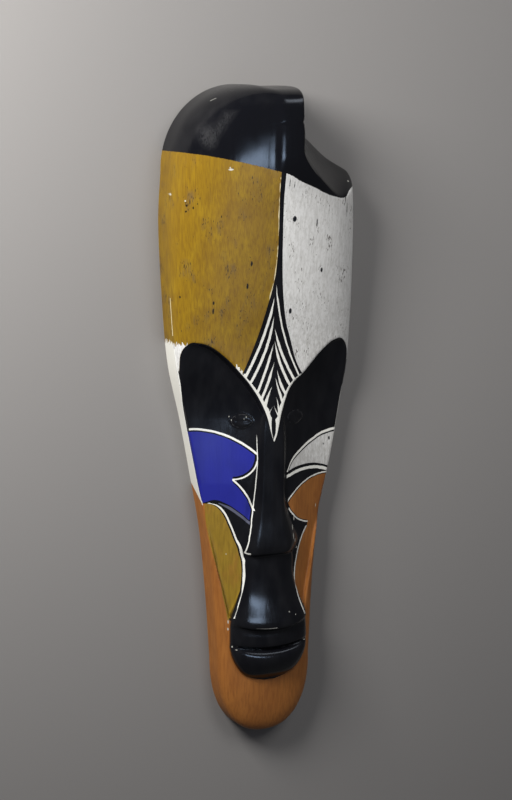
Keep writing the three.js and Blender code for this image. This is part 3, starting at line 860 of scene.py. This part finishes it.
# The white strokes on the black point of the forehead: three points from the tip down, and width.
STROKES = [
    ((-1.4, 110.7), (-18, 54.4), (-25.4, 40.2), 2.5),
    ((-0.7, 93), (-10.3, 53.6), (-20.2, 35), 2.5),
    ((0.9, 67.9), (-6.4, 43.5), (-14, 24.3), 2.4),
    ((2.1, 50.8), (-4.2, 31.4), (-10.4, 16.7), 2.5),
    ((0.4, 28.6), (-4.6, 17.5), (-7, 7.6), 3.4),
    ((1, 9.4), (-1.5, 5.8), (-3.4, 2.3), 2.2),
    ((-0.2, 122.2), (7.3, 87), (27.2, 38.3), 1.5),
    ((1.3, 81.9), (17, 43.6), (22.7, 34), 2.3),
    ((2, 70.6), (12.1, 40.4), (18.5, 28.8), 2.4),
    ((5.3, 43.6), (12.5, 23.8), (15, 19.8), 2.4),
    ((3.7, 36.4), (7.2, 25), (10.3, 15.6), 2.2),
    ((4.9, 18.3), (6.5, 12.2), (7.6, 3.7), 2.2),
    ((2.8, 10.6), (5.1, 4.9), (7.2, 1), 2),
]
TIP_LENGTH = 14
BAND = [(-4, 30), (1, 3.6), (8, 3), (14, 2.6), (22, 2.3), (38, 1.2), (46, 0)]
SLIVER_LEFT = ((2, 8), (0.4, -1), (2.4, -21.8))
SLIVER_RIGHT = ((2, 8), (4.2, -2), (3.6, -21.9))

band = y.along(BAND) - past_brow
sliver = arc(*SLIVER_LEFT).least(arc(*SLIVER_RIGHT)) - 0.1
strokes = band.least(-sliver, 44 - y)
for top, middle, low, width in STROKES:
    half = (top[1] - y).between(0, TIP_LENGTH) * (width / 2)
    strokes = strokes.most((half - abs(arc(top, middle, low))).least(top[1] - y))
strokes = (strokes + ragged * 0.5).least(-ochre_edge - 1.2, -white_edge - 1, past_brow, above + 40)


def brush_line(distance, width):
    """How far a place lies inside a brush line along a distance of 0."""
    return (-abs(distance) + ragged * 0.5) + width * 0.5


NOSE_LINE_WIDTH = [(-122, 0.9), (-90, 0.7), (-50, 0.8), (-30, 0.6), (-16, 0)]
CHEEK_LINE_WIDTH = [
    (-186.5, 0), (-178, 2.2), (-166, 2.9), (-148, 2.9), (-120, 1.8), (-95, 1.5), (-86, 1.9),
    (-78, 2.2),
]
THIN_LINE = 1.3
nose_foot = arc((-25, -124.2), (-22.8, -125.2), (-20.4, -125.6))

# Each line: what it follows, its width, and the places that it stays between.
white_lines = [
    brush_line(blue_top, 1.9).least(left - 12.2, 71.8 - left, above + 40),
    brush_line(notch_top, THIN_LINE).least(left - 12.4, 33.9 - left, below - 40),
    brush_line(notch_side, 1.5).least(33.9 - left, above + 86, below - 56),
    brush_line(nose_line, y.along(NOSE_LINE_WIDTH)).least(above + 124.5, below - 16),
    brush_line(nose_foot, THIN_LINE).least(left - 20.4, 24.8 - left, below - 123.5),
    brush_line(cheek, y.along(CHEEK_LINE_WIDTH)).least(above + 185, below - 77.5, 1.6 - in_muzzle),
    brush_line(patch_top, 2.3).least(right - 17.4, 78 - right, above + 53),
    brush_line(patch_white, 2.7).least(right - 18, 67.6 - right, above + 65),
    brush_line(wedge, THIN_LINE).least(right - 19.8, 68 - right, above + 81),
    brush_line(orange_low, THIN_LINE).least(right - 20.8, 44.4 - right, below - 87),
    brush_line(cheek_right, THIN_LINE).least(44.5 - right, below - 107.5, above - CHEEK_END_Y),
    brush_line(strip, 1.5).least(left, 66 - y, above + 79.5),
]
drawn = strokes
for stroke in white_lines:
    drawn = drawn.most(stroke)
grey_band = (1.5 - abs(blue_bottom + 2.1)).least(47 - left, left - 15, nose_line - 1.2)
grey_band = grey_band - (left - 36).between(0, 11) * 1.2

# Wear, and painted highlights. The ochre's edge and the front's edge are rubbed to cream in places,
# and the cap has a scratch. The ledge over the mouth has a painted highlight, and the eyes' rims a
# painted sheen. Then come dirty spots, and light spots that are partly bare chips and partly painted
# glints on the nostril and along the mouth's groove, as (x, y, half width, half height).
CREAM_WIDTH, LEDGE_WIDTH, RIM_WIDTH, SCRATCH_HALF_WIDTH = 0.9, 0.45, 0.5, 0.02
cream_edge = brush_line(ochre_edge - 0.4, CREAM_WIDTH).least(y - 108, 219 - y)
cream_edge = cream_edge + (streaks(place, 3, 12) - 0.56) * 3
wall_edge = brush_line(past_edge + 1.2, CREAM_WIDTH).least(left - 60, 112 - y, y - 78)
cream_edge = cream_edge.most(wall_edge)
scratch = arc((-55.9, 286), (-53.6, 287.4), (-51.2, 288.6)) - unsteady
scratch = (SCRATCH_HALF_WIDTH - abs(scratch)).least(left - 51.4, 55.7 - left, y - 280)
# A painted highlight on the ledge over the mouth.
painted_ledge_highlight = brush_line(arc((-19.1, -194), (-8.7, -195.2), (2.4, -195.5)) - unsteady, LEDGE_WIDTH)
painted_ledge_highlight = painted_ledge_highlight.least(left + 2, 19 - left, below - 193)
left_rim_line, right_rim_line = (
    brush_line(spot(eye_x, EYE_Y, 9, 6), RIM_WIDTH) for eye_x in (-24, 29.6)
)
eye_rims = left_rim_line.most(right_rim_line)
DARK_CHIPS = [
    (13.8, 181.3, 1.9, 2.6), (37.7, 176.5, 0.7, 4), (46, 133.2, 1.2, 2.4), (15.4, 97.5, 1.5, 2.6),
    (-25.4, 142.5, 0.9, 2.6), (-28.2, 122.3, 0.9, 2.6), (-58, 108, 0.7, 1.8), (-58, 101, 0.7, 2.6),
    (-81.5, 195.6, 0.5, 1), (-77, 193.5, 0.4, 1.1), (-74, 197, 0.4, 0.8), (-84.5, 113.9, 0.6, 0.9),
    (-82, 190.3, 0.5, 0.9), (-54.7, 185.8, 0.5, 1.1), (-47.2, 227.9, 0.5, 0.9), (71, 197, 0.5, 4),
    (74, 187, 0.4, 6), (5.5, 214, 0.4, 3.5), (10.5, 212, 0.4, 2.5), (69.6, -27.6, 1, 1.8),
    (63.2, -32.5, 0.6, 0.9),
]
LIGHT_CHIPS_AND_GLINTS = [
    (-48.6, 227, 2.2, 0.8), (-49.4, 228.4, 0.5, 0.9), (-89.6, 204.8, 0.25, 0.8),
    (-82.4, 199.6, 0.4, 0.7), (-39.2, -189.6, 0.5, 1.6), (-39.4, -196.2, 0.5, 1.2),
    (82.4, 211.3, 0.8, 0.6), (26.6, -97.4, 0.6, 2), (24.1, -105.3, 0.7, 2.4), (24, -113.4, 0.6, 2.8),
    (26.2, -117.7, 0.5, 1.6), (30.1, -125.7, 0.7, 1), (54.4, -89.9, 0.4, 1.4),
    (-39.6, -125.9, 0.4, 0.6), (-33, -1.8, 0.3, 0.5), (-22.6, -0.9, 0.3, 0.4), (-20.5, 0.8, 0.3, 0.5),
    (-34.9, 1.4, 0.3, 0.5), (-37.4, -212, 0.5, 0.8), (-34.6, -214.8, 0.8, 0.3), (38, -211.5, 0.8, 1.3),
    (35.5, -213.5, 1.3, 0.4), (15.7, -182.6, 0.4, 0.5), (22.3, -185.9, 0.4, 0.4),
    (32.5, -181.4, 0.4, 0.5),
]


def joined(spots, raggedness):
    """How far a place lies inside any of some ragged spots."""
    nearest = spot(*spots[0])
    for one in spots[1:]:
        nearest = nearest.most(spot(*one))
    return nearest + ragged * raggedness


BLACK, BLACK_WORN = (0.003, 0.0032, 0.0046, 1), (0.028, 0.028, 0.03, 1)
SCUFF_AND_SHEEN = (0.075, 0.075, 0.078, 1)
OCHRE_LIGHT, OCHRE = (0.25, 0.156, 0.009, 1), (0.205, 0.12, 0.007, 1)
OCHRE_DARK = (0.125, 0.067, 0.008, 1)
WHITE, WHITE_RUBBED, WHITE_AGED = (0.61, 0.61, 0.605, 1), (0.3, 0.29, 0.27, 1), (0.66, 0.63, 0.5, 1)
BLUE, BLUE_DARK_AND_SHADE = (0.014, 0.017, 0.21, 1), (0.01, 0.012, 0.14, 1)
OLIVE, OLIVE_DARK = (0.23, 0.145, 0.016, 1), (0.15, 0.09, 0.011, 1)
ORANGE, ORANGE_DARK = (0.31, 0.12, 0.027, 1), (0.19, 0.066, 0.016, 1)
CREAM, CHIP_AND_GLINT_GREY, BROWN = (0.6, 0.52, 0.33, 1), (0.42, 0.42, 0.38, 1), (0.1, 0.065, 0.03, 1)
LINE_WHITE, BAND_GREY, PORE = (0.72, 0.72, 0.68, 1), (0.085, 0.09, 0.13, 1), (0.03, 0.02, 0.012, 1)

# Unevenness of the paint, from broad patches down to the brush's hairs and the wood's pores.
mottle = streaks(place, 12, 26)
grain = streaks(place, 0.8, 22)
fine_grain = streaks(place, 0.35, 6)
patches = streaks(place, 30, 50)
clusters = streaks(place, 11, 24, 1.0)
pore = streaks(place, 0.8, 3.4, 0.0) + (clusters - 0.5) * 0.85
rubbed = streaks(place, 0.8, 3, 3.0)
coarse_rubbing = streaks(place, 2.2, 5, 3.0)
coarse_grain = streaks(place, 1.8, 15, 3.0)

ochre_paint = painted(OCHRE, OCHRE_LIGHT, mottle.between(0.5, 0.75))
ochre_paint = painted(ochre_paint, OCHRE_DARK, (1 - grain).between(0.42, 0.75) * 0.75)
ochre_paint = painted(ochre_paint, OCHRE_DARK, (1 - coarse_grain).between(0.48, 0.68) * 0.55)
ochre_paint = painted(ochre_paint, OCHRE_DARK, (1 - mottle).between(0.55, 0.72) * 0.4)
# Painted shade: the ochre is darkened towards the crown on the left, against the lamps' stronger light
# there.
crownward = (y - 90).between(0, 130) * (left + 30).between(0, 90)
ochre_paint = painted(ochre_paint, OCHRE_DARK, crownward * 0.2)
dirt = clusters.between(0.56, 0.72) * coarse_grain.between(0.42, 0.6)
ochre_paint = painted(ochre_paint, BROWN, dirt * 0.65)
ochre_paint = painted(ochre_paint, PORE, pore.between(0.81, 0.86) * 0.85)
ochre_paint = painted(ochre_paint, CREAM, cream_edge.mask())

downward = (130 - y).between(0, 110)
off_wall = 1 - wall.mask()
white_paint = painted(WHITE, WHITE_AGED, wall.mask(1.0) * 0.35)
rubbing = rubbed * 0.6 + coarse_rubbing * 0.4 + downward * 0.12 - wall.mask() * 0.2
white_paint = painted(white_paint, WHITE_RUBBED, rubbing.between(0.5, 0.72) * 0.6)
bare_grain = (1 - coarse_grain).between(0.42, 0.68) * off_wall
white_paint = painted(white_paint, WHITE_RUBBED, bare_grain * 0.35)
white_paint = painted(white_paint, PORE, pore.between(0.79, 0.84) * 0.85 * off_wall * above.mask())

# The blue is mottled darker at random, and painted darker on the side wall: painted shade against the
# key lamp's light there.
blue_paint = painted(BLUE, BLUE_DARK_AND_SHADE, (1 - mottle).between(0.45, 0.8) * 0.5 + wall.mask() * 0.7)
olive_paint = painted(OLIVE, OLIVE_DARK, (1 - coarse_grain).between(0.4, 0.66) * 0.65)
olive_paint = painted(olive_paint, ORANGE, mottle.between(0.55, 0.75) * 0.35)
orange_paint = painted(ORANGE, ORANGE_DARK, (1 - coarse_grain).between(0.4, 0.68) * 0.6)
orange_paint = painted(orange_paint, ORANGE_DARK, (1 - patches).between(0.45, 0.65) * 0.3)
# Painted shade: the orange is darkened along the right side's rim above the crease, where the lamps
# light it brightly.
painted_rim_shade = (past_edge + 12).between(0, 8) * (x - 30).between(0, 8) * (y + 200).between(0, 20)
orange_paint = painted(orange_paint, ORANGE_DARK, painted_rim_shade * 0.5)
line_paint = painted(LINE_WHITE, WHITE_RUBBED, rubbed.between(0.58, 0.8) * 0.5)

# The cap is duller on its flanks and scuffed on its left, where it is touched. The scuffs are painted
# lighter grey, partly as real scuffs and partly as painted sheen.
cap_mask = cap.mask()
dull = (66 - z).between(0, 16).most((y - 281).between(0, 5) * 0.5) * cap_mask
scuffs_and_sheen = 3.5 - abs(arc((-63.3, 252.8), (-57, 263), (-49.4, 274.2)))
scuffs_and_sheen = scuffs_and_sheen.least(y - 249, 277 - y).mask(5.0) * 0.5
scuffs_and_sheen = scuffs_and_sheen.most(spot(-65.5, 256, 6, 9).mask(6.0) * 0.8)
cap_paint = painted(BLACK, BLACK_WORN, dull * mottle.between(0.35, 0.7) * 0.16)
cap_paint = painted(cap_paint, SCUFF_AND_SHEEN, scuffs_and_sheen * rubbed.between(0.25, 0.85) * 0.5)

# The coats in the order in which they were laid on, and the wear and the painted highlights over them.
ochre_mask, orange_mask, blue_mask = ochre.mask(), orange.mask(), blue.mask()
white_mask = forehead_white.most(wall_white, patch).mask()
# A painted sheen on the eyes' rims.
painted_eye_sheen = eye_rims.mask() * (streaks(place, 3, 2) - 0.45).between(0, 0.15)
chips_and_glints = joined(LIGHT_CHIPS_AND_GLINTS, 0.7).least(2 - past_edge).most(scratch)
brow_chips = 1.8 - past_brow + (streaks(place, 2, 2) - 0.5) * 8
brow_chips = brow_chips.least(past_brow, left - 25.5, 35 - left, y)
drawn_mask = drawn.mask()
colour = painted(BLACK, BLACK_WORN, mottle.between(0.35, 0.75) * 0.16)
# Painted sheen on the eyes' rims.
colour = painted(colour, SCUFF_AND_SHEEN, painted_eye_sheen * 0.35)
colour = painted(colour, white_paint, white_mask)
colour = painted(colour, ochre_paint, ochre_mask)
colour = painted(colour, olive_paint, olive.mask())
colour = painted(colour, orange_paint, orange_mask)
colour = painted(colour, blue_paint, blue_mask)
colour = painted(colour, BAND_GREY, grey_band.mask(0.6))
colour = painted(colour, line_paint, drawn_mask)
colour = painted(colour, BLACK, joined(DARK_CHIPS, 1.2).mask())
colour = painted(colour, cap_paint, cap_mask)
# Bare chips, and painted glints on the nostril and along the mouth's groove.
colour = painted(colour, CHIP_AND_GLINT_GREY, chips_and_glints.mask())
# The painted highlight on the ledge over the mouth, brighter towards the right.
colour = painted(colour, LINE_WHITE, painted_ledge_highlight.mask() * (x + 21).between(0, 20) * 0.5)
colour = painted(colour, LINE_WHITE, brow_chips.mask())

# Gloss and relief: polished black, duller colours, and the depth of grain and brush marks in
# millimetres.
GLOSS, MATT_ROUGHER, POLISH_SMOOTHER, DULL_ROUGHER = 0.2, 0.3, 0.04, 0.08
GRAIN_DEPTH, HAIR_DEPTH, CUT_DEPTH, LINE_DEPTH, COAT_DEPTH = 0.05, 0.03, 0.12, 0.05, 0.03
SPECULAR_LEVEL, BUMP_STRENGTH = 0.37, 0.6
matt = white_mask.most(ochre_mask, orange_mask, olive.mask(), blue_mask * 0.6) * (1 - cap_mask)
polished = cap_mask.most(in_muzzle.mask(2.0))
roughness = GLOSS + matt * MATT_ROUGHER - polished * POLISH_SMOOTHER + dull * DULL_ROUGHER
roughness = roughness + (mottle - 0.5) * 0.12 + (fine_grain - 0.5) * 0.1
relief = grain * GRAIN_DEPTH + fine_grain * HAIR_DEPTH + streaks(place, 2.6, 60) * CUT_DEPTH
relief = relief + drawn_mask * LINE_DEPTH + matt * COAT_DEPTH
bump = relief.node("ShaderNodeBump", {}, {0: BUMP_STRENGTH, 1: MM, 3: relief})
shader.inputs["Specular IOR Level"].default_value = SPECULAR_LEVEL
painted_wood.node_tree.links.new(colour.socket, shader.inputs["Base Color"])
painted_wood.node_tree.links.new(roughness.socket, shader.inputs["Roughness"])
painted_wood.node_tree.links.new(bump.socket, shader.inputs["Normal"])
mask_mesh.materials.append(painted_wood)

# The back is left as the gouge leaves it: bare, dry wood, with darker rings and stains.
WOOD, WOOD_DARK = (0.34, 0.22, 0.12, 1), (0.17, 0.1, 0.05, 1)
bare_wood, shader, place = finish("bare_wood")
rings = streaks(place, 2.5, 70)
fibres = streaks(place, 0.5, 14)
stain = streaks(place, 35, 60)
wood_colour = painted(WOOD, WOOD_DARK, rings.between(0.4, 0.7) * 0.6 + (fibres - 0.5) * 0.5)
wood_colour = painted(wood_colour, WOOD_DARK, stain.between(0.5, 0.8) * 0.5)
wood_bump = fibres.node("ShaderNodeBump", {}, {0: 0.7, 1: MM, 3: fibres * 0.15 + rings * 0.1})
bare_wood.node_tree.links.new(wood_colour.socket, shader.inputs["Base Color"])
bare_wood.node_tree.links.new((0.7 + (fibres - 0.5) * 0.3).socket, shader.inputs["Roughness"])
bare_wood.node_tree.links.new(wood_bump.socket, shader.inputs["Normal"])
mask_mesh.materials.append(bare_wood)

mask = bpy.data.objects.new("carved_mask", mask_mesh)
bpy.context.scene.collection.objects.link(mask)
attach(mask, "root")
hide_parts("mask")
